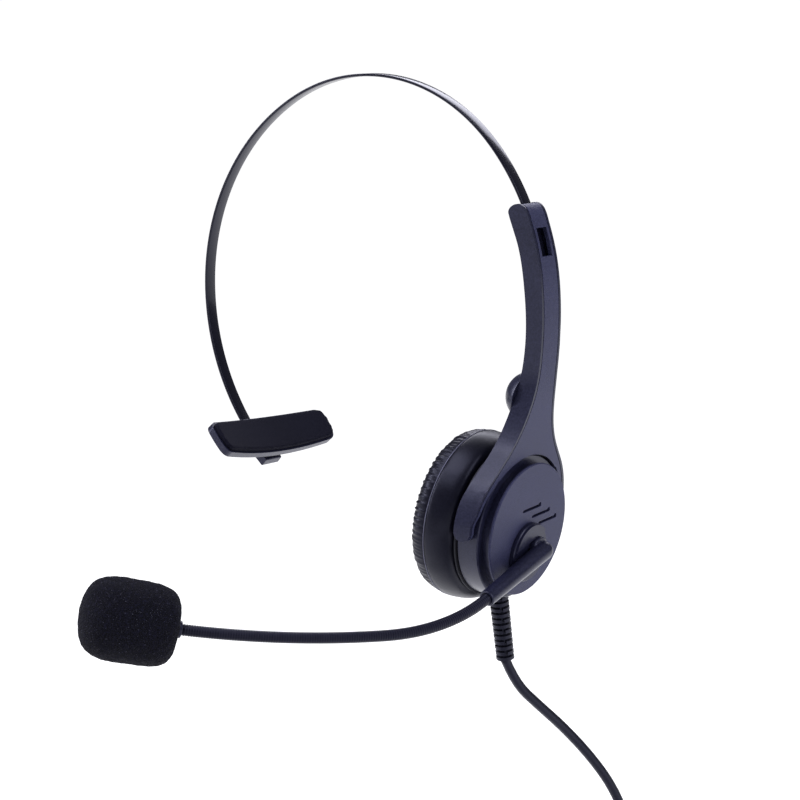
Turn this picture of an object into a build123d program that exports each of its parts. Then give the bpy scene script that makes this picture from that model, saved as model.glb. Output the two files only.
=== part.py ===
"""Single-ear office headset: a spring-steel headband with a temple pad at one end, and a sliding
yoke arm, an ear cup, a turning microphone boom and a cord at the other.

Frame: +X is the ear-cup side, -Y is where the wearer looks, +Z is up.  The origin lies between the
ears, level with the pivots of the ear cup.  All lengths are millimetres.
"""
from build123d import *
import math
import os

os.makedirs("parts", exist_ok=True)

# ---------------------------------------------------------------- driving dimensions
strip_width = 5.2            # spring strip of the headband
strip_thick = 1.0
crown_x = 0.4                # highest point of the strip's centreline
crown_z = 153.5
crown_gap = 0.5              # the strip is two solids, so that the spring joint can open it here
cup_side_radii = (67.8, 82.5)
cup_side_turn = 47.6         # turn of the first radius, from the crown
cup_side_end_z = 70.0
pad_side_radii = (69.0, 78.9, 85.3)
pad_side_turns = (28.3, 61.3)
pad_side_end_z = 13.0

arm_top_z = 111.4
arm_half = 6.0               # half width of the arm above its flare
arm_wall = 1.1               # side walls of the inner shell
arm_floor = 1.4
cover_thick = 1.5
seam = 0.35                  # visible groove between the cover and the shell
cover_gap = 0.15             # gap under the cover
flare_top_z = 58.0
fork_inner = 26.3
fork_outer = 28.9
fork_lift = 0.5              # the arch is struck from a little above the pivots
fork_tip = 3.3
tip_z = 1.2                  # middle of the rounded fork tips
arch_top = 24.8              # the arch is a little flatter than the cup, and overlaps its front edge
pin_radius = 1.0

cup_tilt = 8.2               # the cup's outer face looks this much downwards
pivot_x = 57.5
shell_r = 25.5
shell_back = -3.7            # along the cup's axis from the pivots, outwards positive
shell_front = 4.6
shell_wall = 1.6
collar_r = 22.4
cap_r = 23.5
cap_back = 7.4
cap_face = 8.6
cushion_r = 29.8
cushion_back = -22.3
cushion_front = -4.9
cushion_hole = 13.0

hub_r = 10.4
hub_drop = 8.0               # hub centre below the cup's centre
hub_base = 8.8
hub_face = 10.3
boom_angle = 19.0            # boom below the horizontal, pointing forwards
boom_r = 3.35
boom_end_r = 2.85
boom_axis = 13.7
elbow_x = -3.2               # the elbow stands this far off the hub's centre
elbow_r = 4.5
boom_length = 35.1

neck_r = 1.95
neck_bend = (55.7, -71.0, -26.8)
neck_end = (14.5, -125.0, -20.2)
neck_gap = 1.2
foam_axis = (-0.65, -0.73, 0.21)
foam_length = 31.2
foam_r = 13.6

tbar_centre = (-45.2, 0.0, 22.8)
tbar_lean = 41.0             # the pad faces this much above the horizontal
tbar_length = 61.5
tbar_width = 15.2
tbar_swell = 1.1             # each long side bulges this much
tbar_sag = 2.8
tbar_skew = 3.0              # the pad's rear end sits this much lower
pin_r = 0.9

cord_r = 1.75
coil_r = 18.5                # middle of the turns
coil_bundle = 7.7
relief_length = 25.0


# ---------------------------------------------------------------- small helpers
def save(shape, node):
    """Writes one node to its own file."""
    shape.label = node
    export_step(shape, f"parts/{node}.step")


def disc(radius, low, high, x=0.0, y=0.0):
    """A round solid along the local Z axis."""
    return Pos(x, y, (low + high) / 2) * Cylinder(radius, high - low)


def tube(outer, inner, low, high, x=0.0, y=0.0):
    """A round ring along the local Z axis."""
    return disc(outer, low, high, x, y) - disc(inner, low - 1, high + 1, x, y)


def rod_y(radius, x, z, low, high):
    """A round solid along the row's Y axis."""
    return Pos(x, (low + high) / 2, z) * Rot(90, 0, 0) * Cylinder(radius, high - low)


def block(x0, x1, y0, y1, z0, z1):
    """A box given by its limits."""
    return Pos((x0 + x1) / 2, (y0 + y1) / 2, (z0 + z1) / 2) * Box(x1 - x0, y1 - y0, z1 - z0)


def side_extrude(face, half):
    """Extrudes a face drawn in the XZ plane both ways along Y."""
    return extrude(face, amount=half, both=True)


def xz(curve):
    """Stands a flat curve up in the XZ plane."""
    return Plane.XZ * curve


def unit(values):
    return Vector(*values).normalized()


# ---------------------------------------------------------------- headband
def walk(radii, turns, sign):
    """Centres and angles of tangent arcs that start at the crown; sign -1 walks to +X, 1 to -X."""
    centre = Vector(crown_x, crown_z - radii[0])
    angle = 90.0
    arcs = []
    for index, radius in enumerate(radii):
        if index:
            old = radii[index - 1]
            direction = Vector(math.cos(math.radians(angle)), math.sin(math.radians(angle)))
            centre = centre + direction * (old - radius)
        turn = turns[index] if index < len(turns) else None
        arcs.append([centre, radius, angle, turn])
        if turn is not None:
            angle += sign * turn
    return arcs


def strip_face(arcs, sign, end_z, thick):
    """Outline of the strip's edge view, in the XZ plane, from the crown to the height end_z."""
    outer = []
    inner = []
    for centre, radius, start, turn in arcs:
        if turn is None:
            drop = math.degrees(math.asin((centre.Y - end_z) / radius))
            finish = -drop if sign < 0 else 180.0 + drop
            turn = abs(finish - start)
        outer.append(CenterArc((centre.X, centre.Y), radius + thick / 2, start, sign * turn))
        inner.append(CenterArc((centre.X, centre.Y), radius - thick / 2, start, sign * turn))
    edges = Curve() + outer + inner
    edges += Line(outer[0] @ 0, inner[0] @ 0)
    edges += Line(outer[-1] @ 1, inner[-1] @ 1)
    return make_face(xz(edges).edges())


cup_arcs = walk(cup_side_radii, (cup_side_turn,), -1)
pad_arcs = walk(pad_side_radii, pad_side_turns, 1)
arm_centre = cup_arcs[1][0]          # the arm slides round this point
arm_radius = cup_side_radii[1]


def arm_point(z, out=0.0):
    """X of the strip's centreline inside the arm at a height, moved outwards by out."""
    radius = arm_radius + out
    return arm_centre.X + math.sqrt(radius ** 2 - (z - arm_centre.Y) ** 2)


def make_headband():
    cup_half = side_extrude(strip_face(cup_arcs, -1, cup_side_end_z, strip_thick), strip_width / 2)
    pad_half = side_extrude(strip_face(pad_arcs, 1, pad_side_end_z, strip_thick), strip_width / 2)
    gap = block(crown_x - crown_gap / 2, crown_x + crown_gap / 2, -9, 9, crown_z - 5, crown_z + 5)
    save(cup_half - gap, "headband_strip_cup_side")
    save(pad_half - gap, "headband_strip_pad_side")
    # the shoe at the strip's end runs in the arm and stops the arm from sliding off
    end_angle = math.degrees(math.asin((cup_side_end_z - arm_centre.Y) / arm_radius))
    edges = Curve()
    shoe = []
    for half in (1.0, -1.0):
        arc = CenterArc((arm_centre.X, arm_centre.Y), arm_radius + half, end_angle - 1.4, 4.6)
        shoe.append(arc)
    edges += shoe
    edges += Line(shoe[0] @ 0, shoe[1] @ 0)
    edges += Line(shoe[0] @ 1, shoe[1] @ 1)
    body = side_extrude(make_face(xz(edges).edges()), 4.2)
    save(body - cup_half, "strip_end_shoe")


# ---------------------------------------------------------------- the cup's own frame
tilt = math.radians(cup_tilt)
cup_axis = Vector(math.cos(tilt), 0, -math.sin(tilt))
cup_up = Vector(math.sin(tilt), 0, math.cos(tilt))
cup_plane = Plane(origin=(pivot_x, 0, 0), x_dir=(0, 1, 0), z_dir=cup_axis)
hub_plane = Plane(origin=cup_plane.from_local_coords(Vector(0.3, -hub_drop, 0)),
                  x_dir=(0, 1, 0), z_dir=cup_axis)


def in_cup(shape):
    return cup_plane.location * shape


def in_hub(shape):
    return hub_plane.location * shape


# ---------------------------------------------------------------- arm and fork
inner_edge = [(60.9, 108.0), (64.3, 98.8), (67.4, 83.0), (68.2, 68.0), (66.2, 52.0), (62.8, 38.8),
              (59.3, 24.0), (56.4, 14.5), (54.6, 6.0)]
outer_edge = [(69.4, 106.0), (72.4, 96.0), (74.6, 80.0), (74.6, 66.0), (72.6, 48.5), (69.3, 34.0),
              (65.8, 19.0), (62.9, 8.0)]


def side_region(inner_shift, outer_shift, drop=0.0):
    """Side view of the arm between its inner and outer faces, each moved along X."""
    inner = Spline(*[(x + inner_shift, z) for x, z in inner_edge],
                   tangents=((0.30, -1.0), (-0.12, -1.0)))
    outer = Spline(*[(x + outer_shift, z - drop) for x, z in outer_edge],
                   tangents=((0.34, -1.0), (-0.24, -1.0)))
    top = arm_top_z - drop
    corner_in = (inner_edge[0][0] + inner_shift + 1.9, top - 0.4)
    crown_in = (64.2, top)
    tip = fork_tip
    edges = Curve() + [inner, outer]
    edges += Spline((inner_edge[0][0] + inner_shift, inner_edge[0][1]), corner_in, crown_in,
                    tangents=((-0.30, 1.0), (1.0, 0.1)))
    edges += Spline(crown_in, outer @ 0, tangents=((1.0, 0.1), (0.34, -1.0)))
    left = (pivot_x - tip + inner_shift, tip_z)
    right = (pivot_x + tip + outer_shift, tip_z)
    edges += Spline(inner @ 1, left, tangents=((-0.12, -1.0), (0.0, -1.0)))
    edges += Spline(outer @ 1, right, tangents=((-0.24, -1.0), (0.0, -1.0)))
    middle = ((left[0] + right[0]) / 2, tip_z - (right[0] - left[0]) / 2)
    edges += ThreePointArc(left, middle, right)
    return side_extrude(make_face(xz(edges).edges()), 40)


def cavity_region():
    """Side view of the hollow between the shell's floor and the underside of the cover."""
    low = Spline(*[(x + arm_floor, z) for x, z in inner_edge])
    high = Spline(*[(x - cover_thick + 0.3, z - 0.9) for x, z in outer_edge])
    edges = Curve() + [low, high, Line(low @ 0, high @ 0), Line(low @ 1, high @ 1)]
    return side_extrude(make_face(xz(edges).edges()), 40)


def cavity_plan():
    """Front view of that hollow: a channel that widens above the arch."""
    half = arm_half - arm_wall - 0.5
    points = [(-half, 106), (-half, 57), (-8.6, 36), (-9.4, 31), (9.4, 31), (8.6, 36), (half, 57), (half, 106)]
    return extrude(Plane.YZ * Polygon(*points, align=None), amount=100)


def front_region(outer_inset, arch_inset):
    """Front view of the arm and its fork, extruded along X."""
    half = arm_half - outer_inset
    outer = fork_outer - outer_inset
    arch = fork_inner + arch_inset
    low = -fork_tip - 1
    shoulder = (outer * math.sin(math.radians(63)), outer * math.cos(math.radians(63)))
    edges = Curve()
    for side in (-1, 1):
        edges += Line((side * half, arm_top_z + 5), (side * half, flare_top_z))
        edges += Spline((side * half, flare_top_z), (side * (13.7 - outer_inset), 28.8),
                        (side * shoulder[0], shoulder[1]),
                        tangents=((0, -1), (side * 0.46, -0.89)))
        edges += ThreePointArc((side * shoulder[0], shoulder[1]),
                               (side * outer * 0.988, outer * 0.154), (side * outer, 0))
        edges += Line((side * outer, 0), (side * outer, low))
        edges += Line((side * outer, low), (side * arch, low))
        edges += Line((side * arch, low), (side * arch, fork_lift))
    edges += ThreePointArc((-arch, fork_lift), (0, arch_top + arch_inset), (arch, fork_lift))
    edges += Line((-half, arm_top_z + 5), (half, arm_top_z + 5))
    face = make_face((Plane.YZ * edges).edges())
    return extrude(face, amount=100)


def strip_way():
    """Room for the strip and its shoe as the arm slides."""
    edges = Curve()
    sides = [CenterArc((arm_centre.X, arm_centre.Y), arm_radius + half, -14.0, 48)
             for half in (1.3, -1.3)]
    edges += sides
    edges += Line(sides[0] @ 0, sides[1] @ 0)
    edges += Line(sides[0] @ 1, sides[1] @ 1)
    return side_extrude(make_face(xz(edges).edges()), 4.5)


screw_height = 50.0
boss_z = 45.0
leaf_turn = 4.3                  # the friction spring sits this far up the strip's arc


def make_arm():
    whole = side_region(0, 0) & front_region(0, 0)
    under_cover = side_region(-20, -cover_thick, 0.9)
    way = strip_way()
    # inner shell: side walls, a floor, and the fork's inner web
    recess = side_region(-20, 0) & front_region(arm_wall, 0)
    recess -= side_region(-30, -cover_thick - cover_gap, 0.9)
    hollow = cavity_region() & cavity_plan()
    shell = whole - recess - hollow - way
    post = Pos(arm_point(screw_height) - 3.2, 0, screw_height) * Rot(0, 90, 0) * Cylinder(1.9, 7.0)
    shell += post & side_region(0.3, -cover_thick - cover_gap, 0.9)
    sweep_room = in_cup(disc(fork_inner, -14, shell_front + 0.8))
    shell -= sweep_room
    for side in (-1, 1):
        shell -= rod_y(pin_radius + 0.02, pivot_x, 0, side * 25.5 - 2.3, side * 25.5 + 2.3)
    cover = (side_region(0, 0) & front_region(arm_wall + seam, 0)) - under_cover
    cover -= way
    cover -= sweep_room
    window = block(60, 90, -3.15, 3.15, 93.7, 103.3)
    cover -= window
    screw_x = arm_point(screw_height)
    screw_bore = Pos(screw_x, 0, screw_height) * Rot(0, 90, 0) * Cylinder(0.95, 30)
    shell -= screw_bore & block(50, arm_point(50) + 1.6, -3, 3, 40, 60)
    save(shell, "arm_inner_shell")
    save(cover, "arm_outer_cover")
    # friction spring: a bowed leaf that presses on the strip through the shell's floor
    x = arm_radius - 1.6
    leaf = block(x - 0.4, x, -2.6, 2.6, -7, 7)
    for side in (-1, 1):
        leaf += block(x - 2.4, x - 0.4, -2.6, 2.6, side * 6.5 - 0.5, side * 6.5 + 0.5)
    leaf = Pos(arm_centre.X, 0, arm_centre.Y) * Rot(0, -leaf_turn, 0) * leaf
    save(leaf - shell, "friction_spring")
    # domed cap on the inner face, over the screw that closes the arm
    cap = Pos(66.7, 0, boss_z) * Sphere(8.8) - side_region(0, 30)
    save(cap, "arm_dome_cap")
    screw = Pos(screw_x - 0.3, 0, screw_height) * Rot(0, 90, 0) * Cylinder(0.9, 3.0)
    save(screw, "arm_screw")
    pins = [rod_y(pin_radius, pivot_x, 0, side * 25.1 - 2.6, side * 25.1 + 2.6) for side in (-1, 1)]
    save(Compound(children=pins), "fork_pins")


# ---------------------------------------------------------------- ear cup
vent_places = [(0.6, 7.4), (6.9, 4.7), (11.8, 1.7)]
vent_length = 11.4
vent_width = 1.0
screw_circle = [(20.4 * math.cos(math.radians(a)), 20.4 * math.sin(math.radians(a)))
                for a in (90, 210, 330)]


def make_ear_cup():
    shell = tube(shell_r, shell_r - shell_wall, shell_back, shell_front)
    shell += tube(shell_r, 20.0, shell_front - 1.4, shell_front)
    shell += tube(collar_r, collar_r - 1.4, shell_front - 0.1, cap_back)
    shell = chamfer(shell.edges().filter_by(GeomType.CIRCLE)
                    .filter_by(lambda e: abs(e.radius - shell_r) < 0.01), 0.35)
    for side in (-1, 1):
        lug = Pos(side * 23.3, 0, 0) * Rot(0, 90, 0) * Cylinder(2.3, 3.6)
        hole = Pos(side * 23.6, 0, 0) * Rot(0, 90, 0) * Cylinder(pin_radius + 0.05, 5.4)
        shell = shell + (lug & disc(shell_r - 0.4, -10, 10)) - hole
    for x, y in screw_circle:
        shell += disc(2.2, shell_back + 1.3, shell_front - 1.3, x, y) - disc(0.92, -10, 10, x, y)
    relief_hole = Pos(0, -24, 0.0) * Rot(90, 0, 0) * Cylinder(2.7, 8)
    shell -= relief_hole
    save(in_cup(shell), "cup_shell")

    cap = disc(cap_r, cap_back, cap_face)
    cap = chamfer(cap.edges().filter_by(GeomType.CIRCLE), 0.35)
    cap += tube(20.8, 19.4, shell_front, cap_back + 0.1)
    cap -= disc(3.0, 0, 20, 0.3, -hub_drop)
    for x, y in vent_places:
        slot = extrude(SlotOverall(vent_length, vent_width), amount=20)
        cap -= Pos(x, y, 0) * Rot(0, 0, 5) * (slot + Pos(vent_length / 2 - 0.8, 0.3, 10) * Cylinder(0.8, 20))
    save(in_cup(cap), "cup_cap")

    baffle = disc(23.7, shell_back - 0.2, shell_back + 1.2)
    for ring, count in ((0.0, 1), (4.2, 6), (8.4, 12)):
        for index in range(count):
            a = 2 * math.pi * index / count
            baffle -= disc(0.9, -10, 10, ring * math.cos(a), ring * math.sin(a))
    baffle += tube(16.2, 15.2, shell_back + 1.1, shell_back + 2.6)
    for x, y in screw_circle:
        baffle -= disc(0.95, -10, 10, x, y)
    save(in_cup(baffle), "baffle_plate")

    frame = tube(15.0, 7.3, shell_back + 1.9, shell_back + 4.2)
    frame += tube(15.0, 13.6, shell_back + 1.3, shell_back + 1.95)
    save(in_cup(frame), "driver_frame")
    cone = tube(13.4, 5.0, shell_back + 1.35, shell_back + 1.6)
    cone += disc(5.0, shell_back + 1.35, shell_back + 1.85)
    save(in_cup(cone), "driver_diaphragm")
    magnet = disc(7.2, shell_back + 2.2, shell_back + 4.4) + disc(6.2, shell_back + 4.3, shell_back + 5.4)
    save(in_cup(magnet), "driver_magnet")
    board = block(-6, 6, 10.4, 17.6, 2.2, 3.2) + block(-3, 3, 12.2, 15.2, 3.1, 3.7)
    save(in_cup(board), "terminal_board")
    felt = disc(12.4, shell_back - 0.9, shell_back - 0.25)
    save(in_cup(felt), "speaker_felt")

    ring = tube(26.2, 14.2, shell_back - 0.9, shell_back - 0.25)
    save(in_cup(ring), "cushion_ring")
    outline = [(cushion_hole, cushion_front), (27.0, cushion_front)]
    edges = Curve() + Line(*outline)
    edges += Spline((27.0, cushion_front), (29.3, -8.0), (cushion_r, -13.0), (29.0, -19.2),
                    (24.0, cushion_back), (16.3, -19.3), (cushion_hole, -13.0),
                    tangents=((1, -0.35), (0, 1)))
    edges += Line((cushion_hole, -13.0), (cushion_hole, cushion_front))
    profile = make_face((Plane.XZ * edges).edges())
    save(in_cup(revolve(profile, Axis.Z)), "ear_cushion")

    screws = [disc(0.9, shell_back - 0.1, shell_back + 4.2, x, y) for x, y in screw_circle]
    save(in_cup(Compound(children=screws)), "baffle_screws")

    washer = tube(5.4, 3.2, cap_back - 0.55, cap_back - 0.1, 0.3, -hub_drop)
    save(in_cup(washer), "hub_wave_washer")


# ---------------------------------------------------------------- boom
def make_boom():
    hub = disc(hub_r, hub_base, hub_face)
    hub = chamfer(hub.edges().group_by(Axis.Z)[-1], 0.3)
    turn = Rot(0, 0, 180 + boom_angle)              # local +X now runs along the boom
    plateau = disc(hub_r - 0.35, hub_face - 0.1, hub_face + 1.0)
    plateau &= turn * block(-20, 20, -20, -4.7, 0, 40)
    hub += plateau
    hub += disc(2.93, cap_back - 1.9, hub_base + 0.1)
    hub -= disc(1.0, cap_back - 3.0, cap_back + 1.0)
    save(in_hub(hub), "boom_hub")
    retainer = disc(4.6, cap_back - 2.5, cap_back - 1.9) + disc(0.95, cap_back - 2.0, cap_back + 0.9)
    save(in_hub(retainer), "hub_retainer_screw")

    start = elbow_x
    run = disc(elbow_r, hub_face + 0.02, boom_axis - 1.2, start, 0)
    run = fillet(run.edges().group_by(Axis.Z)[-1], 0.5)
    run += disc(boom_r, hub_face + 1.0, boom_axis, start, 0)
    run += Pos(start, 0, boom_axis) * Sphere(boom_r)
    taper = Pos(start + boom_length / 2, 0, boom_axis) * Rot(0, 90, 0)
    run += taper * Cone(boom_r, boom_end_r, boom_length)
    # a thin ridge runs from the elbow along the lower side of the tube
    reach = start + boom_length - 1.5
    corners = [(start + 0.5, 0.4), (reach, 0.4), (reach, boom_end_r + 0.5), (start + 0.5, elbow_r - 0.4)]
    ridge = Pos(0, 0, boom_axis - 1.7) * extrude(make_face(Polyline(*corners, close=True).edges()), amount=0.9)
    run += ridge
    socket = Pos(start + boom_length - 3.0, 0, boom_axis) * Rot(0, 90, 0) * Cylinder(neck_r + 0.02, 6.2)
    run -= socket
    save(in_hub(turn * run), "boom_arm")


def boom_point(along):
    """A point on the boom's axis, in the row frame."""
    turn = Rot(0, 0, 180 + boom_angle)
    local = (turn * Pos(along, 0, boom_axis)).position
    return hub_plane.from_local_coords(local)


boom_end = boom_point(elbow_x + boom_length)
neck_root = Line(boom_point(elbow_x + boom_length - 5.8), boom_end)
neck_first = TangentArc(boom_end, Vector(*neck_bend), tangent=neck_root % 1)
neck_second = TangentArc(Vector(*neck_bend), Vector(*neck_end), tangent=neck_first % 1)


def swept(path, radius):
    """A round rod along a smooth path."""
    return sweep(Plane(origin=path @ 0, z_dir=path % 0) * Circle(radius), path=path)


def make_neck():
    lower = Wire([neck_root, neck_first.trim(0, 1 - neck_gap / 2 / neck_first.length)])
    tail = Line(neck_second @ 1, neck_second @ 1 + (neck_second % 1) * 2.2)
    upper = Wire([neck_second.trim(neck_gap / 2 / neck_second.length, 1), tail])
    save(swept(lower, neck_r), "gooseneck_lower")
    save(swept(upper, neck_r), "gooseneck_upper")


# ---------------------------------------------------------------- microphone
mic_axis = unit(foam_axis)
foam_plane = Plane(origin=Vector(*neck_end), x_dir=mic_axis.cross(Vector(0, 1, 0)), z_dir=mic_axis)


def make_mic():
    housing = disc(4.9, 4.0, 17.0)
    housing = fillet(housing.edges().group_by(Axis.Z)[-1], 1.2)
    housing += disc(2.9, 0.7, 4.1)
    housing -= disc(neck_r + 0.3, -4, 2.3)
    housing -= disc(4.0, 10.0, 15.9)
    housing -= disc(1.4, 14, 20)
    save(foam_plane.location * housing, "mic_housing")
    capsule = disc(3.9, 12.2, 15.8)
    save(foam_plane.location * capsule, "mic_capsule")
    low = 2.7
    high = low + foam_length
    edges = Curve() + Line((5.1, low + 2.6), (9.0, low))
    edges += Spline((9.0, low), (foam_r, low + 12), (foam_r - 0.6, low + 24), (0, high),
                    tangents=((1.0, 0.35), (-1, 0)))
    edges += Line((0, high), (0, 18.2))
    edges += Line((0, 18.2), (5.1, 18.2))
    edges += Line((5.1, 18.2), (5.1, low + 2.6))
    foam = revolve(make_face((Plane.XZ * edges).edges()), Axis.Z)
    save(foam_plane.location * foam, "foam_windscreen")


# ---------------------------------------------------------------- temple pad
lean = math.radians(tbar_lean)
tbar_normal = Vector(math.cos(lean), 0, math.sin(lean))
tbar_plane = Plane(origin=tbar_centre, x_dir=(0, 1, 0), z_dir=tbar_normal)
tbar_pin = (-0.2, -7.7)          # across the tray and behind it
bow = (tbar_length / 2) ** 2 / (2 * tbar_sag)


def bowed(low, high):
    """A slab between two depths, bowed along the tray's length."""
    centre = bow - tbar_sag
    return (Pos(0, 0, centre) * Rot(90, 0, 0)
            * (Cylinder(bow - low, 40) - Cylinder(bow - high, 50)))


def tray_outline(inset):
    """Plan view of the temple piece: a rectangle with swollen sides and rounded ends."""
    half_l = tbar_length / 2 - inset
    half_w = tbar_width / 2 - inset
    edges = Curve()
    for side in (-1, 1):
        edges += ThreePointArc((-half_l, side * (half_w - tbar_swell)), (0, side * half_w),
                               (half_l, side * (half_w - tbar_swell)))
        edges += ThreePointArc((side * half_l, half_w - tbar_swell), (side * (half_l + 0.8), 0),
                               (side * half_l, -half_w + tbar_swell))
    face = make_face(edges.edges())
    face = fillet(face.vertices(), 3.4 - min(inset, 1.0))
    return Rot(0, 0, -tbar_skew) * extrude(face, amount=30, both=True)


def make_temple_pad():
    tray = bowed(-1.6, 1.1) & tray_outline(0)
    tray -= bowed(-0.4, 3.0) & tray_outline(0.8)
    for side in (-1, 1):
        middle = side * 6.3
        lug = block(middle - 1.1, middle + 1.1, tbar_pin[0] - 1.9, tbar_pin[0] + 1.9, tbar_pin[1],
                    -tbar_sag - 1.0)
        lug += Pos(middle, *tbar_pin) * Rot(0, 90, 0) * Cylinder(1.9, 2.2)
        lug -= Pos(middle, *tbar_pin) * Rot(0, 90, 0) * Cylinder(pin_r + 0.06, 3)
        tray += lug
    save(tbar_plane.location * tray, "temple_tray")
    pad = bowed(-0.35, 2.8) & tray_outline(0.9)
    save(tbar_plane.location * pad, "temple_pad")
    pins = [Pos(side * 5.3, *tbar_pin) * Rot(0, 90, 0) * Cylinder(pin_r, 4.2) for side in (-1, 1)]
    save(tbar_plane.location * Compound(children=pins), "temple_pins")
    # the clip is moulded round the strip's end and carries the eye for the pin
    centre, radius, start, _ = pad_arcs[-1]
    end = 180 + math.degrees(math.asin((centre.Y - pad_side_end_z) / radius))
    sides = [CenterArc((centre.X, centre.Y), radius + half, end - 9.9, 10.8) for half in (1.9, -1.2)]
    edges = Curve() + sides
    edges += Line(sides[0] @ 0, sides[1] @ 0)
    edges += Line(sides[0] @ 1, sides[1] @ 1)
    clip = side_extrude(make_face(xz(edges).edges()), 4.6)
    clip = fillet(clip.edges().filter_by(Axis.Y), 0.5)
    bores = [Pos(side * 5.3, *tbar_pin) * Rot(0, 90, 0) * Cylinder(pin_r + 0.02, 4.6) for side in (-1, 1)]
    for bore in bores:
        clip -= tbar_plane.location * bore
    pad_half = side_extrude(strip_face(pad_arcs, 1, pad_side_end_z, strip_thick), strip_width / 2)
    save(clip - pad_half, "temple_clip")


# ---------------------------------------------------------------- cord
relief_start = cup_plane.from_local_coords(Vector(0, -shell_r - 0.3, 0))
relief_direction = unit((0.0, 0.19, -0.98))
relief_end = relief_start + relief_direction * relief_length
coil_centre = Vector(60.0, 54.0, -143.0)
coil_shape = Location(coil_centre) * Rot(90, 0, 0) * Torus(coil_r, coil_bundle - 0.2)
cord_route = [relief_end, (55.4, 8.8, -59.1), (59.4, 17.8, -68.2), (63.6, 28.2, -78.0),
              (68.8, 37.6, -89.5), (73.4, 45.4, -101.5), (76.8, 50.6, -115.0), (78.3, 53.2, -128.7),
              (78.5, 54.0, -142.0)]
tail_route = [(78.5, 54.0, -144.0), (78.6, 54.5, -156.0), (75.8, 56.3, -168.0), (75.8, 56.3, -179.5)]


def corner_radii(points):
    """As large an arc at each corner as its two runs allow."""
    points = [Vector(*p) if isinstance(p, tuple) else p for p in points]
    radii = []
    for before, corner, after in zip(points, points[1:], points[2:]):
        first = corner - before
        second = after - corner
        turn = math.radians(first.get_angle(second))
        radii.append(0.45 * min(first.length, second.length) / math.tan(turn / 2))
    return radii


def cord_tube(points, node):
    radii = corner_radii(points)
    path = FilletPolyline(*points, radius=radii)
    body = swept(path, cord_r)
    print(node, "radii", [round(r, 1) for r in radii], "length", round(path.length, 1),
          "volume ratio", round(body.volume / (math.pi * cord_r ** 2 * path.length), 4))
    save(body - coil_shape, node)


def make_cord():
    relief_plane = Plane(origin=relief_start, x_dir=(1, 0, 0), z_dir=relief_direction)
    relief = disc(1.6, -3.0, 0.6)
    relief += disc(2.0, 0.5, relief_length)
    rings = 12
    pitch = (relief_length - 0.5) / rings
    for index in range(rings):
        radius = 3.4 - 0.2 * index / (rings - 1)
        low = index * pitch + 0.5
        ring = disc(radius, low, low + pitch * 0.58)
        # every ring is split at two places, a quarter turn on from its neighbour's
        splits = block(-5, 5, -0.45, 0.45, low - 1, low + 3) - disc(1.9, low - 2, low + 4)
        relief += ring - Rot(0, 0, 45 + 90 * (index % 2)) * splits
    save(relief_plane.location * relief, "strain_relief")
    cord_tube(cord_route, "cord_lead")
    cord_tube(tail_route, "cord_tail")
    save(coil_shape, "cord_coil")
    tie_arc = CenterArc((coil_centre.X, coil_centre.Z), coil_r, 80, 20)
    tie_path = Pos(0, coil_centre.Y, 0) * (Plane.XZ * tie_arc)
    ring_plane = Plane(origin=tie_path @ 0, z_dir=tie_path % 0)
    tie = sweep(ring_plane * (Circle(coil_bundle + 0.6) - Circle(coil_bundle - 0.1)), path=tie_path)
    save(tie, "coil_tie")

    # modular plug: body, contacts and a latch that hinges where it joins the body
    end = Vector(*tail_route[-1])
    body = block(-3.82, 3.82, -3.2, 3.2, -14.5, 0)
    body -= block(-3.0, 3.0, 1.2, 3.3, -15, -9.5)
    body = Location(end) * (body + block(-2.4, 2.4, -2.2, 2.2, -0.1, 1.2) - disc(cord_r, 0, 4))
    save(body, "plug_body")
    contacts = [Location(end) * block(x - 0.2, x + 0.2, 1.25, 2.9, -14.0, -10.0) for x in (-1.9, -0.63, 0.63, 1.9)]
    save(Compound(children=contacts), "plug_contacts")
    latch = Plane.YZ * Polygon((-3.35, -13.6), (-3.5, -12.4), (-6.4, -1.0), (-7.1, -1.0), (-4.4, -13.6), align=None)
    latch = Location(end) * extrude(latch, amount=1.5, both=True)
    save(latch, "plug_latch")


make_headband()
make_arm()
make_ear_cup()
make_boom()
make_neck()
make_mic()
make_temple_pad()
make_cord()
print("arm centre", round(arm_centre.X, 3), round(arm_centre.Y, 3))
print("hub point", hub_plane.origin, "cup axis", cup_axis)
print("neck direction", neck_first % 1)
print("temple pin", tbar_plane.from_local_coords(Vector(0, *tbar_pin)))
print("neck middle", neck_first @ 1, "boom end", boom_end)
print("relief end", relief_end)
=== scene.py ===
import bpy
import math
from mathutils import Matrix, Vector, noise


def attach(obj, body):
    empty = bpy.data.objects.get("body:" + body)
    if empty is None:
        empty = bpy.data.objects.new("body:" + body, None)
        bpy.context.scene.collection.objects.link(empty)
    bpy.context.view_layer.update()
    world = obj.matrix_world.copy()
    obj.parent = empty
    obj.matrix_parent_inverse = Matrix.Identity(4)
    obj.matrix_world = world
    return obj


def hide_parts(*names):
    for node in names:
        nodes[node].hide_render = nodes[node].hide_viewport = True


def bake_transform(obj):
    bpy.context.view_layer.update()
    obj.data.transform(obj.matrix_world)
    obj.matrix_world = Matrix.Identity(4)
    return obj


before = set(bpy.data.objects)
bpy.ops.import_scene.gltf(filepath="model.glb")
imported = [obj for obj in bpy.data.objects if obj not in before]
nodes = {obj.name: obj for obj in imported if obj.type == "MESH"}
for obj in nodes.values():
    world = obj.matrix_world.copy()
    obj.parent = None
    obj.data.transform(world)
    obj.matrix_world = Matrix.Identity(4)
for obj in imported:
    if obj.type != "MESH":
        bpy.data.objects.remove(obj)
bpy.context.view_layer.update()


# ------------------------------------------------------------ camera, light and floor
# A product-shot set: one long lens a metre away and a little above the ear cup, a white sweep behind and
# below, its floor a painted glow that dims to a painted shade under the front of the headset, and four large
# soft lights.

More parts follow.
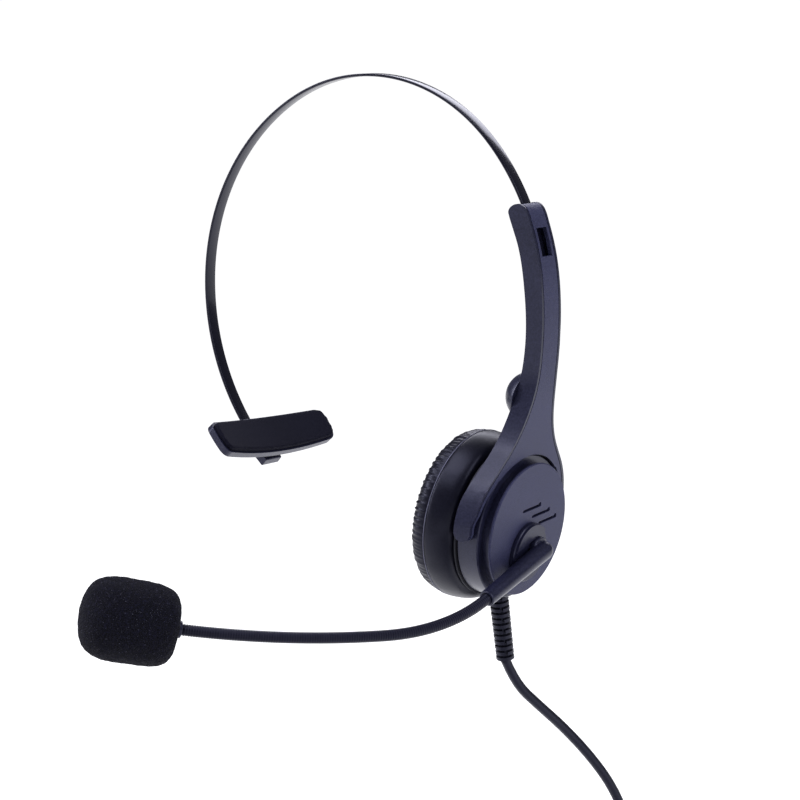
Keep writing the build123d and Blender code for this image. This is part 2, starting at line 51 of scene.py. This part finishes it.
def from_front(azimuth, elevation, distance, target):
    """A point at an azimuth round from the wearer's front and an elevation, seen from target."""
    a = math.radians(azimuth)
    e = math.radians(elevation)
    away = Vector((math.sin(a) * math.cos(e), -math.cos(a) * math.cos(e), math.sin(e)))
    return Vector(target) + away * distance


camera_data = bpy.data.cameras.new("camera")
camera_data.lens = 130
camera_data.sensor_width = 36
camera_data.clip_end = 400
camera = bpy.data.objects.new("camera", camera_data)
camera.location = from_front(35.1, 8.3, 1.022, (0.0118, 0, 0.0393))
camera.rotation_euler = (math.radians(90 - 8.3), 0, math.radians(35.1))
bpy.context.scene.collection.objects.link(camera)
bpy.context.scene.camera = camera


def soft_light(name, azimuth, elevation, distance, width, height, watts, tint=(1, 1, 1)):
    """A rectangular softbox aimed at the middle of the headset."""
    middle = Vector((0, 0, 0.04))
    data = bpy.data.lights.new(name, "AREA")
    data.shape = "RECTANGLE"
    data.size = width
    data.size_y = height
    data.energy = watts
    data.color = tint
    light = bpy.data.objects.new(name, data)
    light.location = from_front(azimuth, elevation, distance, middle)
    light.rotation_euler = (middle - light.location).to_track_quat("-Z", "Y").to_euler()
    bpy.context.scene.collection.objects.link(light)


lavender = (0.90, 0.90, 1.0)
soft_light("top_light", -20, 68, 1.1, 0.9, 0.7, 9, lavender)
soft_light("side_light", 95, 25, 1.1, 0.45, 1.0, 5.5, lavender)
soft_light("left_light", -58, 26, 1.2, 0.22, 0.9, 8, lavender)
soft_light("rim_light", 200, 35, 1.4, 1.2, 0.5, 8, lavender)

world = bpy.data.worlds.new("studio")
bpy.context.scene.world = world
world.use_nodes = True
world.node_tree.nodes["Background"].inputs["Color"].default_value = (0.9, 0.9, 1.0, 1)
world.node_tree.nodes["Background"].inputs["Strength"].default_value = 0.16
bpy.context.scene.view_settings.view_transform = "Standard"

bpy.ops.object.select_all(action="DESELECT")
bpy.ops.mesh.primitive_plane_add(size=240, location=(0, 0, -0.26))
floor = bpy.context.active_object
floor.name = "floor"
floor_paint = bpy.data.materials.new("floor_white")
floor_paint.use_nodes = True
floor_shader = floor_paint.node_tree.nodes["Principled BSDF"]
floor_shader.inputs["Base Color"].default_value = (0.5, 0.5, 0.5, 1)
floor_shader.inputs["Roughness"].default_value = 0.9
floor_shader.inputs["Emission Color"].default_value = (1, 1, 1, 1)
floor_place = floor_paint.node_tree.nodes.new("ShaderNodeTexCoord")
floor_distance = floor_paint.node_tree.nodes.new("ShaderNodeVectorMath")
floor_distance.operation = "DISTANCE"
floor_distance.inputs[1].default_value = (0.23, -0.33, 0)
# painted light: the floor glows like a lamp, and its glow drops to a painted shade near a spot under the
# front of the headset
floor_painted_glow_and_shade = floor_paint.node_tree.nodes.new("ShaderNodeMapRange")
floor_painted_glow_and_shade.inputs["From Min"].default_value = 0.24
floor_painted_glow_and_shade.inputs["From Max"].default_value = 0.44
floor_painted_glow_and_shade.inputs["To Min"].default_value = 0.12
floor_painted_glow_and_shade.inputs["To Max"].default_value = 0.95
floor_paint.node_tree.links.new(floor_place.outputs["Object"], floor_distance.inputs[0])
floor_paint.node_tree.links.new(floor_distance.outputs["Value"], floor_painted_glow_and_shade.inputs["Value"])
floor_paint.node_tree.links.new(floor_painted_glow_and_shade.outputs["Result"], floor_shader.inputs["Emission Strength"])
floor.data.materials.append(floor_paint)


# ------------------------------------------------------------ cord
# A smooth 3.5 mm rubber cord, 1.5 m long, that hangs from the ear cup's strain relief and is tied up
# in a coil of twelve turns, with a 4-way handset plug on its end.

cord_thick = 0.0035
relief_end = Vector((0.05382, 0.004758, -0.050079))
coil_centre = Vector((0.060, 0.054, -0.143))
coil_ring = 0.0179
steps_per_turn = 14
turn_spacing = 1.03 * cord_thick
crossing = 0.72          # the share of each turn after which the cord crosses to the next
cord_points = [relief_end, (0.0554, 0.0088, -0.0591), (0.0594, 0.0178, -0.0682), (0.0636, 0.0282, -0.0780),
               (0.0688, 0.0376, -0.0895), (0.0734, 0.0454, -0.1015), (0.0768, 0.0506, -0.1150),
               (0.0783, 0.0532, -0.1287)]
# the turns lie beside and on each other: each row is a place in the bundle's section, in diameters
bundle = [(0.0, 0.0), (1.0, 0.0), (0.5, 0.87), (-0.5, 0.87), (-1.0, 0.0), (-0.5, -0.87), (0.5, -0.87),
          (1.5, -0.87), (1.5, 0.87), (0.0, 1.73), (-1.5, 0.87), (0.0, -1.73)]
for turn, (out, side) in enumerate(bundle):
    following = bundle[min(turn + 1, len(bundle) - 1)]
    for step in range(steps_per_turn):
        share = step / steps_per_turn
        ease = max(0.0, (share - crossing) / (1 - crossing))
        radius = coil_ring + turn_spacing * (out + (following[0] - out) * ease)
        shift = turn_spacing * (side + (following[1] - side) * ease)
        angle = -2 * math.pi * (share + 0.02)
        cord_points.append((coil_centre.x + radius * math.cos(angle), coil_centre.y + shift,
                            coil_centre.z + radius * math.sin(angle)))
cord_points += [(0.0785, 0.0540, -0.1440), (0.0786, 0.0545, -0.1560), (0.0758, 0.0563, -0.1680),
                (0.0758, 0.0563, -0.1795)]

cord_curve = bpy.data.curves.new("cord", "CURVE")
cord_curve.dimensions = "3D"
cord_curve.bevel_depth = cord_thick / 2
cord_curve.bevel_resolution = 3
cord_curve.resolution_u = 5
cord_curve.use_fill_caps = True
spline = cord_curve.splines.new("NURBS")
spline.points.add(len(cord_points) - 1)
for point, place in zip(spline.points, cord_points):
    point.co = (*place, 1.0)
spline.order_u = 3
spline.use_endpoint_u = True
cord = bpy.data.objects.new("cord", cord_curve)
bpy.context.scene.collection.objects.link(cord)


# every moulded finish is a base colour that drifts a little, a fine speckle and a grain in the surface
grain = bpy.data.node_groups.new("grain", "ShaderNodeTree")
for socket, kind, value in (("Dark", "NodeSocketColor", (0.02, 0.02, 0.03, 1)),
                            ("Light", "NodeSocketColor", (0.04, 0.04, 0.06, 1)),
                            ("Size", "NodeSocketFloat", 2000.0), ("Speckle", "NodeSocketFloat", 0.2),
                            ("Smooth", "NodeSocketFloat", 0.3), ("Rough", "NodeSocketFloat", 0.5)):
    item = grain.interface.new_socket(socket, in_out="INPUT", socket_type=kind)
    item.default_value = value
for socket, kind in (("Color", "NodeSocketColor"), ("Roughness", "NodeSocketFloat"),
                     ("Height", "NodeSocketFloat")):
    grain.interface.new_socket(socket, in_out="OUTPUT", socket_type=kind)
g = grain.nodes
wires = grain.links
given = g.new("NodeGroupInput")
result = g.new("NodeGroupOutput")
place = g.new("ShaderNodeTexCoord")
fine = g.new("ShaderNodeTexNoise")
fine.inputs["Detail"].default_value = 3
wires.new(place.outputs["Object"], fine.inputs["Vector"])
wires.new(given.outputs["Size"], fine.inputs["Scale"])
broad = g.new("ShaderNodeTexNoise")
broad.inputs["Scale"].default_value = 45
broad.inputs["Detail"].default_value = 4
wires.new(place.outputs["Object"], broad.inputs["Vector"])
speck = g.new("ShaderNodeMapRange")
speck.inputs["From Min"].default_value = 0.35
speck.inputs["From Max"].default_value = 0.75
wires.new(fine.outputs["Fac"], speck.inputs["Value"])
amount = g.new("ShaderNodeMath")
amount.operation = "MULTIPLY"
wires.new(speck.outputs["Result"], amount.inputs[0])
wires.new(given.outputs["Speckle"], amount.inputs[1])
both = g.new("ShaderNodeMath")
both.operation = "MULTIPLY_ADD"
both.inputs[1].default_value = 0.5
both.use_clamp = True
wires.new(broad.outputs["Fac"], both.inputs[0])
wires.new(amount.outputs["Value"], both.inputs[2])
shade = g.new("ShaderNodeMix")
shade.data_type = "RGBA"
wires.new(both.outputs["Value"], shade.inputs["Factor"])
wires.new(given.outputs["Dark"], shade.inputs["A"])
wires.new(given.outputs["Light"], shade.inputs["B"])
gloss = g.new("ShaderNodeMapRange")
wires.new(both.outputs["Value"], gloss.inputs["Value"])
wires.new(given.outputs["Smooth"], gloss.inputs["To Min"])
wires.new(given.outputs["Rough"], gloss.inputs["To Max"])
wires.new(shade.outputs["Result"], result.inputs["Color"])
wires.new(gloss.outputs["Result"], result.inputs["Roughness"])
wires.new(fine.outputs["Fac"], result.inputs["Height"])


def finish_with(name, dark, light, size, speckle, smooth, rough, depth, **fixed):
    """A material on the grain group; depth is the grain's depth in metres."""
    made = bpy.data.materials.new(name)
    made.use_nodes = True
    tree = made.node_tree
    shader = tree.nodes["Principled BSDF"]
    skin = tree.nodes.new("ShaderNodeGroup")
    skin.node_tree = grain
    for socket, value in (("Dark", (*dark, 1)), ("Light", (*light, 1)), ("Size", size), ("Speckle", speckle),
                          ("Smooth", smooth), ("Rough", rough)):
        skin.inputs[socket].default_value = value
    bump = tree.nodes.new("ShaderNodeBump")
    bump.inputs["Distance"].default_value = depth
    bump.inputs["Strength"].default_value = 1.0
    tree.links.new(skin.outputs["Color"], shader.inputs["Base Color"])
    tree.links.new(skin.outputs["Roughness"], shader.inputs["Roughness"])
    tree.links.new(skin.outputs["Height"], bump.inputs["Height"])
    tree.links.new(bump.outputs["Normal"], shader.inputs["Normal"])
    shader.inputs["Specular Tint"].default_value = (0.72, 0.74, 1.0, 1)
    shader.inputs["Specular IOR Level"].default_value = 0.32
    for socket, value in fixed.items():
        shader.inputs[socket.replace("_", " ")].default_value = value
    return made


def wear(obj, material):
    """Gives a piece one material."""
    obj.data.materials.clear()
    obj.data.materials.append(material)


cord_skin = finish_with("cord_skin", (0.005, 0.005, 0.010), (0.012, 0.012, 0.022), 1500, 0.3, 0.32, 0.45,
                        0.00001)
wear(cord, cord_skin)
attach(cord, "ear_cup")
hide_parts("cord_lead", "cord_coil", "cord_tail")


# ------------------------------------------------------------ plug and coil tie
# The 4P4C plug is a clear polycarbonate moulding with a sprung latch and four gold contacts; the
# coil is held by a wrap of black hook-and-loop tape.

clear_moulding = finish_with("clear_moulding", (0.55, 0.57, 0.60), (0.66, 0.68, 0.70), 900, 0.2, 0.08, 0.2,
                             0.000004, Transmission_Weight=0.75, IOR=1.58)
gold = finish_with("gold_contacts", (0.60, 0.42, 0.14), (0.86, 0.66, 0.28), 3000, 0.4, 0.2, 0.35, 0.000003,
                   Metallic=1.0)
tie_tape = finish_with("tie_tape", (0.008, 0.008, 0.011), (0.03, 0.03, 0.036), 5000, 0.9, 0.8, 0.95, 0.0001,
                       Sheen_Weight=0.4)
wear(nodes["plug_body"], clear_moulding)
wear(nodes["plug_latch"], clear_moulding)
wear(nodes["plug_contacts"], gold)
wear(nodes["coil_tie"], tie_tape)


# ------------------------------------------------------------ headband
# One strip of spring steel, 5.2 mm wide and 1 mm thick, rolled to a bow and coated gloss black.

strip_wide = 0.0052
strip_thick = 0.0010
crown = Vector((0.0004, 0, 0.1535))
# radius, and the angle where each arc ends, measured up from +X, starting inside the arm
arcs = [(0.0825, 42.4), (0.0678, 90.0), (0.0690, 118.3), (0.0789, 179.6), (0.0853, 227.4)]


def select_all_mesh(obj):
    """Edit mode on one object, with all of it selected."""
    bpy.ops.object.select_all(action="DESELECT")
    bpy.context.view_layer.objects.active = obj
    obj.select_set(True)
    bpy.ops.object.mode_set(mode="EDIT")
    bpy.ops.mesh.select_all(action="SELECT")


def smooth(obj, angle=35):
    """Smooth shading, except over edges sharper than the angle."""
    bpy.ops.object.select_all(action="DESELECT")
    bpy.context.view_layer.objects.active = obj
    obj.select_set(True)
    bpy.ops.object.shade_smooth_by_angle(angle=math.radians(angle))


def apply_modifiers(obj):
    """Applies every modifier on a piece, in order."""
    bpy.ops.object.select_all(action="DESELECT")
    bpy.context.view_layer.objects.active = obj
    obj.select_set(True)
    for modifier in list(obj.modifiers):
        bpy.ops.object.modifier_apply(modifier=modifier.name)


def settle(obj):
    """Puts a piece's place and turn into its mesh."""
    bpy.ops.object.select_all(action="DESELECT")
    bpy.context.view_layer.objects.active = obj
    obj.select_set(True)
    bpy.ops.object.transform_apply(location=True, rotation=True, scale=True)


arc_centres = [None] * len(arcs)
arc_centres[1] = crown - Vector((0, 0, arcs[1][0]))
arc_centres[2] = crown - Vector((0, 0, arcs[2][0]))
turn_at = math.radians(arcs[0][1])
step = Vector((math.cos(turn_at), 0, math.sin(turn_at))) * (arcs[1][0] - arcs[0][0])
arc_centres[0] = arc_centres[1] + step
for index in (3, 4):
    turn_at = math.radians(arcs[index - 1][1])
    step = Vector((math.cos(turn_at), 0, math.sin(turn_at))) * (arcs[index - 1][0] - arcs[index][0])
    arc_centres[index] = arc_centres[index - 1] + step

start_degrees = -4.0
first_angle = math.radians(start_degrees)
strip_start = arc_centres[0] + Vector((math.cos(first_angle), 0, math.sin(first_angle))) * arcs[0][0]
bpy.ops.object.select_all(action="DESELECT")
bpy.ops.mesh.primitive_plane_add(size=1, location=strip_start, rotation=(0, -first_angle, 0))
headband = bpy.context.active_object
headband.name = "headband"
headband.scale = (strip_thick, strip_wide, 1)
settle(headband)
select_all_mesh(headband)
bpy.ops.mesh.bevel(offset=0.00032, affect="VERTICES", segments=3)
bpy.ops.mesh.select_all(action="SELECT")
angle_now = start_degrees
for (radius, angle_end), centre in zip(arcs, arc_centres):
    turn = angle_end - angle_now
    bpy.ops.mesh.spin(steps=max(8, round(turn / 1.3)), angle=math.radians(turn), center=centre,
                      axis=(0, 1, 0))
    angle_now = angle_end
bpy.ops.mesh.select_all(action="SELECT")
bpy.ops.mesh.remove_doubles(threshold=0.00001)
bpy.ops.mesh.normals_make_consistent(inside=False)
bpy.ops.object.mode_set(mode="OBJECT")
smooth(headband, 50)
lacquer = finish_with("strip_lacquer", (0.003, 0.003, 0.007), (0.008, 0.008, 0.016), 700, 0.15, 0.16, 0.30,
                      0.000002, Coat_Weight=0.15, Coat_Roughness=0.08)
wear(headband, lacquer)
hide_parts("headband_strip_cup_side", "headband_strip_pad_side")
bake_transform(headband)


# ------------------------------------------------------------ arm
# The arm that slides on the strip is a satin charcoal shell with a finely textured cover let into
# its outer face; its fork carries the cup. Each moulded edge is broken by a small round.

def softened(node, name, width, body, material, segments=2, limit=32):
    """A copy of a CAD piece with its edges rounded, which stands for the piece."""
    piece = nodes[node].copy()
    piece.data = nodes[node].data.copy()
    piece.name = name
    piece.parent = None
    piece.matrix_world = Matrix()
    bpy.context.scene.collection.objects.link(piece)
    select_all_mesh(piece)
    bpy.ops.mesh.remove_doubles(threshold=0.000004)
    bpy.ops.mesh.dissolve_limited(angle_limit=math.radians(1.5))
    bpy.ops.object.mode_set(mode="OBJECT")
    rounding = piece.modifiers.new("round", "BEVEL")
    rounding.width = width
    rounding.segments = segments
    rounding.limit_method = "ANGLE"
    rounding.angle_limit = math.radians(limit)
    rounding.miter_outer = "MITER_ARC"
    apply_modifiers(piece)
    smooth(piece, 40)
    shading = piece.modifiers.new("shading", "WEIGHTED_NORMAL")
    shading.keep_sharp = True
    shading.weight = 80
    apply_modifiers(piece)
    wear(piece, material)
    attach(piece, body)
    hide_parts(node)
    return piece


satin = finish_with("satin_moulding", (0.003, 0.0035, 0.012), (0.022, 0.023, 0.052), 1600, 0.5, 0.26, 0.42,
                    0.000015, Coat_Weight=0.15, Coat_Roughness=0.2)
textured = finish_with("textured_cover", (0.006, 0.0065, 0.022), (0.046, 0.049, 0.105), 3600, 0.95, 0.36,
                       0.55, 0.00006)
bare_steel = finish_with("bare_steel", (0.42, 0.42, 0.43), (0.62, 0.62, 0.63), 2500, 0.3, 0.22, 0.4, 0.000004,
                         Metallic=1.0)
inner_black = finish_with("inner_black", (0.010, 0.010, 0.012), (0.028, 0.028, 0.032), 1800, 0.3, 0.5, 0.65,
                          0.00001)
softened("arm_inner_shell", "arm_shell", 0.0004, "arm", satin)
softened("arm_outer_cover", "arm_cover", 0.0003, "arm", textured)
softened("arm_dome_cap", "dome_cap", 0.0006, "arm", satin)
for name in ("friction_spring", "arm_screw", "fork_pins", "temple_pins", "baffle_screws", "driver_magnet",
             "hub_wave_washer", "hub_retainer_screw", "mic_capsule"):
    wear(nodes[name], bare_steel)
for name in ("strip_end_shoe", "baffle_plate", "driver_frame", "cushion_ring"):
    wear(nodes[name], inner_black)


# ------------------------------------------------------------ ear cup
# A satin moulded shell with a textured cap pressed into its front, vented by three slots. Inside
# are the speaker, its felt and a small printed board.

diaphragm_film = finish_with("diaphragm_film", (0.30, 0.29, 0.24), (0.42, 0.41, 0.35), 900, 0.2, 0.25, 0.4,
                             0.000004)
board_green = finish_with("board_green", (0.01, 0.07, 0.03), (0.03, 0.14, 0.06), 1200, 0.3, 0.3, 0.45,
                          0.00001)
felt_grey = finish_with("felt_grey", (0.02, 0.02, 0.024), (0.06, 0.06, 0.07), 4000, 0.9, 0.9, 1.0, 0.0001)
softened("cup_shell", "cup_side_shell", 0.0004, "ear_cup", satin)
softened("cup_cap", "cup_front_cap", 0.00033, "ear_cup", textured)
wear(nodes["driver_diaphragm"], diaphragm_film)
wear(nodes["terminal_board"], board_green)
wear(nodes["speaker_felt"], felt_grey)


# ------------------------------------------------------------ ear cushion
# A ring of foam in smooth black leatherette: a plain side band, a stitched seam, and a face that is
# gathered into some eighty small pleats where it is drawn over the foam.

cup_tilt = math.radians(8.2)
cup_frame = Matrix.Translation((0.0575, 0, 0)) @ Matrix((
    (0, math.sin(cup_tilt), math.cos(cup_tilt), 0), (1, 0, 0, 0),
    (0, math.cos(cup_tilt), -math.sin(cup_tilt), 0), (0, 0, 0, 1)))
# radius and depth along the cup's axis, in millimetres, from the back round to the face
cushion_section = [(13.0, -5.0), (20.0, -4.95), (26.4, -4.95), (27.9, -5.7), (28.8, -7.2), (29.5, -9.6),
                   (29.85, -12.0), (29.9, -13.8), (29.8, -14.6), (29.35, -14.95), (29.1, -15.1),
                   (29.25, -15.5), (29.35, -16.6), (29.2, -18.2), (28.6, -19.8), (27.4, -21.2),
                   (25.6, -22.1), (23.4, -22.35), (20.6, -22.0), (18.0, -20.9), (16.0, -19.0),
                   (14.4, -16.2), (13.4, -12.8), (13.0, -9.0)]
cushion_mesh = bpy.data.meshes.new("ear_cushion_cover")
cushion_mesh.from_pydata([(r / 1000, 0, z / 1000) for r, z in cushion_section],
                         [(i, (i + 1) % len(cushion_section)) for i in range(len(cushion_section))], [])
cushion = bpy.data.objects.new("ear_cushion_cover", cushion_mesh)
bpy.context.scene.collection.objects.link(cushion)
select_all_mesh(cushion)
bpy.ops.mesh.spin(steps=240, angle=2 * math.pi, center=(0, 0, 0), axis=(0, 0, 1))
bpy.ops.mesh.select_all(action="SELECT")
bpy.ops.mesh.remove_doubles(threshold=0.00001)
bpy.ops.mesh.normals_make_consistent(inside=False)
bpy.ops.object.mode_set(mode="OBJECT")
rounder = cushion.modifiers.new("rounder", "SUBSURF")
rounder.levels = 1
rounder.render_levels = 1
apply_modifiers(cushion)
for vertex in cushion.data.vertices:
    x, y, z = vertex.co
    radius = math.hypot(x, y)
    angle = math.atan2(y, x)
    wobble = noise.noise(Vector((3 * math.cos(angle), 3 * math.sin(angle), 1.7)))
    face = min(1.0, max(0.0, (-0.0152 - z) / 0.0020)) * min(1.0, max(0.0, (radius - 0.0150) / 0.006))
    ply = math.sin(84 * angle + 12 * wobble + 230 * (0.029 - radius))
    depth = 0.5 + 0.9 * abs(noise.noise(Vector((9 * math.cos(angle), 9 * math.sin(angle), 60 * z))))
    pull = face * depth * (0.00020 * ply + 0.00014 * math.sin(151 * angle + 9 * wobble))
    push = 0.00018 * noise.noise(Vector((5 * math.cos(angle), 5 * math.sin(angle), 90 * z)))
    scale = 1 + (pull * 0.8 + push) / max(radius, 0.001)
    vertex.co = (x * scale, y * scale, z - pull * 0.9)
# a thin piped edge runs round the seam, coloured light lavender as a painted highlight along it
bpy.ops.object.select_all(action="DESELECT")
bpy.ops.mesh.primitive_torus_add(major_segments=240, minor_segments=8, major_radius=0.02975,
                                 minor_radius=0.00016, location=(0, 0, -0.0149))
piping = bpy.context.active_object
piping.name = "seam_piping"
settle(piping)
piping.data.transform(cup_frame)
smooth(piping, 80)
# painted highlight: the piping's light lavender colour stands for light caught along the seam
piping_skin = finish_with("piping_skin", (0.10, 0.10, 0.15), (0.18, 0.18, 0.25), 1800, 0.5, 0.3, 0.4, 0.00001)
wear(piping, piping_skin)
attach(piping, "ear_cup")
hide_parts("ear_cushion")
cushion.data.transform(cup_frame)
smooth(cushion, 80)
leatherette = finish_with("leatherette", (0.002, 0.002, 0.005), (0.006, 0.006, 0.013), 1300, 0.4, 0.30, 0.46,
                          0.00003, Specular_IOR_Level=0.25)
wear(cushion, leatherette)
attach(cushion, "ear_cup")
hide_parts("ear_cushion")


# ------------------------------------------------------------ boom
# A tapered satin tube whose elbow stands on a round hub that turns in the cap.

def remeshed(node, name, voxel, rounds):
    """A copy of a CAD piece with its outside rebuilt in small even faces and its edges relaxed."""
    piece = nodes[node].copy()
    piece.data = nodes[node].data.copy()
    piece.name = name
    piece.parent = None
    piece.matrix_world = Matrix()
    bpy.context.scene.collection.objects.link(piece)
    select_all_mesh(piece)
    bpy.ops.mesh.remove_doubles(threshold=0.000004)
    bpy.ops.object.mode_set(mode="OBJECT")
    rebuild = piece.modifiers.new("rebuild", "REMESH")
    rebuild.mode = "VOXEL"
    rebuild.voxel_size = voxel
    relax = piece.modifiers.new("relax", "SMOOTH")
    relax.factor = 0.5
    relax.iterations = rounds
    apply_modifiers(piece)
    smooth(piece, 60)
    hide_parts(node)
    return piece


softened("boom_hub", "boom_hub_disc", 0.0003, "boom", satin)
boom = remeshed("boom_arm", "boom_tube", 0.0002, 4)
wear(boom, satin)
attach(boom, "boom")


# ------------------------------------------------------------ gooseneck
# A wound steel neck in a thin black coat, whose windings show as close ribs.

neck_radius = 0.00195
rib_pitch = 0.00085
boom_end = Vector((0.0684376, -0.029862, -0.0201517))
neck_bend = Vector((0.0557, -0.0710, -0.0268))
mic_root = Vector((0.0145, -0.1250, -0.0202))


def arc_points(start, heading, end, spacing):
    """Points along the arc that leaves start along heading and reaches end, and its last heading."""
    chord = end - start
    side = (chord - heading * chord.dot(heading)).normalized()
    half_turn = heading.angle(chord)
    radius = chord.length / (2 * math.sin(half_turn))
    count = max(2, round(2 * half_turn * radius / spacing))
    points = []
    for index in range(count + 1):
        turn = 2 * half_turn * index / count
        points.append(start + heading * (radius * math.sin(turn)) + side * (radius * (1 - math.cos(turn))))
    last = (heading * math.cos(2 * half_turn) + side * math.sin(2 * half_turn)).normalized()
    return points, last


hub_turn = math.radians(180 + 19)
boom_heading = (cup_frame.to_3x3() @ Vector((math.cos(hub_turn), math.sin(hub_turn), 0))).normalized()
first_run, bend_heading = arc_points(boom_end, boom_heading, neck_bend, rib_pitch / 4)
second_run, mic_heading = arc_points(neck_bend, bend_heading, mic_root, rib_pitch / 4)
neck_line = [boom_end - boom_heading * 0.005] + first_run + second_run[1:] + [mic_root + mic_heading * 0.002]
neck_curve = bpy.data.curves.new("gooseneck", "CURVE")
neck_curve.dimensions = "3D"
neck_curve.bevel_depth = neck_radius
neck_curve.bevel_resolution = 5
neck_curve.use_fill_caps = True
winding = neck_curve.splines.new("POLY")
winding.points.add(len(neck_line) - 1)
for index, (point, spot) in enumerate(zip(winding.points, neck_line)):
    point.co = (*spot, 1.0)
    point.radius = 1.0 if index % 4 in (1, 2) else 0.93
neck_shape = bpy.data.objects.new("neck_shape", neck_curve)
bpy.context.scene.collection.objects.link(neck_shape)
bpy.context.view_layer.update()
neck_mesh = bpy.data.meshes.new_from_object(neck_shape.evaluated_get(bpy.context.evaluated_depsgraph_get()))
bpy.data.objects.remove(neck_shape)
gooseneck = bpy.data.objects.new("gooseneck", neck_mesh)
bpy.context.scene.collection.objects.link(gooseneck)
smooth(gooseneck, 70)
neck_coat = finish_with("neck_coat", (0.004, 0.004, 0.010), (0.012, 0.012, 0.024), 2000, 0.3, 0.28, 0.42,
                        0.000005, Specular_IOR_Level=0.22)
wear(gooseneck, neck_coat)
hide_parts("gooseneck_lower", "gooseneck_upper")
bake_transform(gooseneck)


# ------------------------------------------------------------ microphone
# A small housing at the neck's end, under a slip-on windscreen of open black foam.

softened("mic_housing", "mic_case", 0.0003, "mic", satin)
windscreen = remeshed("foam_windscreen", "foam_cover", 0.0006, 10)
for vertex in windscreen.data.vertices:
    spot = vertex.co * 1000
    bump_out = (0.10 * noise.noise(spot * 1.9) + 0.16 * noise.noise(spot * 0.55)
                + 0.2 * noise.noise(spot * 0.12))
    vertex.co += vertex.normal * bump_out / 1000
foam = bpy.data.materials.new("open_foam")
foam.use_nodes = True
tree = foam.node_tree
foam_shader = tree.nodes["Principled BSDF"]
foam_place = tree.nodes.new("ShaderNodeTexCoord")
# painted shade: the foam is painted darker in the middle of each cell, where its hollows are
cells = tree.nodes.new("ShaderNodeTexVoronoi")
cells.inputs["Scale"].default_value = 1500
cells.feature = "DISTANCE_TO_EDGE"
pore_painted_shade_mix = tree.nodes.new("ShaderNodeMix")
pore_painted_shade_mix.data_type = "RGBA"
pore_painted_shade_mix.inputs["A"].default_value = (0.007, 0.007, 0.020, 1)
pore_painted_shade_mix.inputs["B"].default_value = (0.001, 0.001, 0.003, 1)
cell_range = tree.nodes.new("ShaderNodeMapRange")
cell_range.inputs["From Max"].default_value = 0.28
# painted highlight: small light lavender specks over the foam stand for glints on its strands
painted_glint_noise = tree.nodes.new("ShaderNodeTexNoise")
painted_glint_noise.inputs["Scale"].default_value = 2600
painted_glint_noise.inputs["Detail"].default_value = 1
painted_glint_range = tree.nodes.new("ShaderNodeMapRange")
painted_glint_range.inputs["From Min"].default_value = 0.68
painted_glint_range.inputs["From Max"].default_value = 0.76
painted_glint_mix = tree.nodes.new("ShaderNodeMix")
painted_glint_mix.data_type = "RGBA"
painted_glint_mix.inputs["B"].default_value = (0.11, 0.11, 0.15, 1)
foam_bump = tree.nodes.new("ShaderNodeBump")
foam_bump.inputs["Distance"].default_value = 0.0005
foam_bump.invert = True
links = tree.links
links.new(foam_place.outputs["Object"], cells.inputs["Vector"])
links.new(foam_place.outputs["Object"], painted_glint_noise.inputs["Vector"])
links.new(cells.outputs["Distance"], cell_range.inputs["Value"])
links.new(cell_range.outputs["Result"], pore_painted_shade_mix.inputs["Factor"])
links.new(painted_glint_noise.outputs["Fac"], painted_glint_range.inputs["Value"])
links.new(painted_glint_range.outputs["Result"], painted_glint_mix.inputs["Factor"])
links.new(pore_painted_shade_mix.outputs["Result"], painted_glint_mix.inputs["A"])
links.new(painted_glint_mix.outputs["Result"], foam_shader.inputs["Base Color"])
links.new(cell_range.outputs["Result"], foam_bump.inputs["Height"])
links.new(foam_bump.outputs["Normal"], foam_shader.inputs["Normal"])
foam_shader.inputs["Roughness"].default_value = 0.95
foam_shader.inputs["Specular IOR Level"].default_value = 0.2
wear(windscreen, foam)
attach(windscreen, "mic")


# ------------------------------------------------------------ temple piece
# A bowed satin tray that tips on a clip at the strip's end, with a foam pad in black cloth glued in it.

softened("temple_tray", "temple_tray_shell", 0.0005, "temple", satin, segments=3)
softened("temple_clip", "temple_clip_block", 0.0003, "pad_side", satin)
temple_pad = remeshed("temple_pad", "temple_cushion", 0.00045, 8)
cloth = finish_with("pad_cloth", (0.003, 0.003, 0.007), (0.010, 0.010, 0.020), 5200, 0.9, 0.85, 1.0, 0.00008,
                    Specular_IOR_Level=0.08, Sheen_Weight=0.04)
wear(temple_pad, cloth)
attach(temple_pad, "temple")


# ------------------------------------------------------------ strain relief
# A tapered black sleeve of split rings that lets the cord bend away from the cup.

wear(nodes["strain_relief"], cord_skin)
